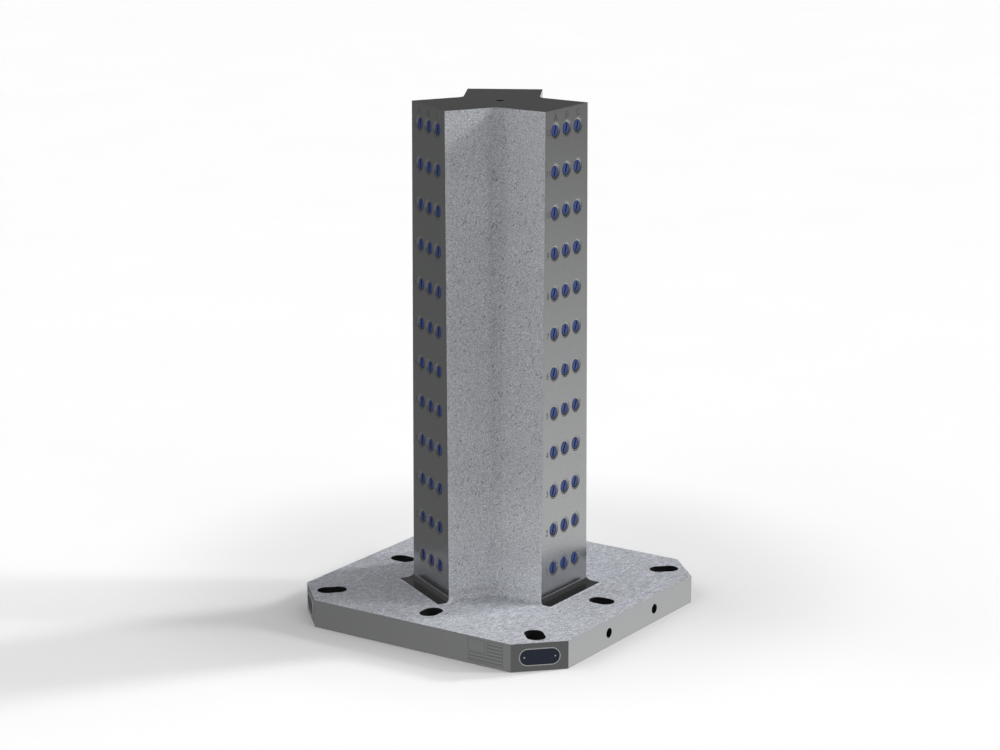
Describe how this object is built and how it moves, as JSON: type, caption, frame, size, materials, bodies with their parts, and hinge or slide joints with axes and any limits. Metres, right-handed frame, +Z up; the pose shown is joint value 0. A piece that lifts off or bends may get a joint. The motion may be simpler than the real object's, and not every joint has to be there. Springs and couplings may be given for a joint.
{
  "type": "cnc tombstone fixture",
  "caption": "Three-faced cast iron tombstone: a Y-section column on a square slotted pallet base, with a grid of plugged bores in each machined face.",
  "frame": {"origin": "centre of the base's underside", "axes": "+Z up along the column; the base's sides lie along X and Y; face 1 looks along -Y and faces 2 and 3 at 120 degrees each"},
  "size_m": [0.4, 0.4, 0.6604],
  "materials": {
    "cast_iron": "as cast with milled faces",
    "bushing_steel": "hardened and ground rings",
    "blue_plastic": "moulded, satin",
    "nameplate_metal": "stamped plate with a dark enamel field"
  },
  "bodies": {
    "root": {"tombstone_casting": "cast_iron", "face_1_column_a_plugs": "blue_plastic", "face_1_column_b_plugs": "blue_plastic", "face_1_column_c_plugs": "blue_plastic", "face_2_column_a_plugs": "blue_plastic", "face_2_column_b_plugs": "blue_plastic", "face_2_column_c_plugs": "blue_plastic", "face_3_column_a_plugs": "blue_plastic", "face_3_column_b_plugs": "blue_plastic", "face_3_column_c_plugs": "blue_plastic", "front_nameplate": "nameplate_metal", "left_nameplate": "nameplate_metal"}
  },
  "joints": []
}
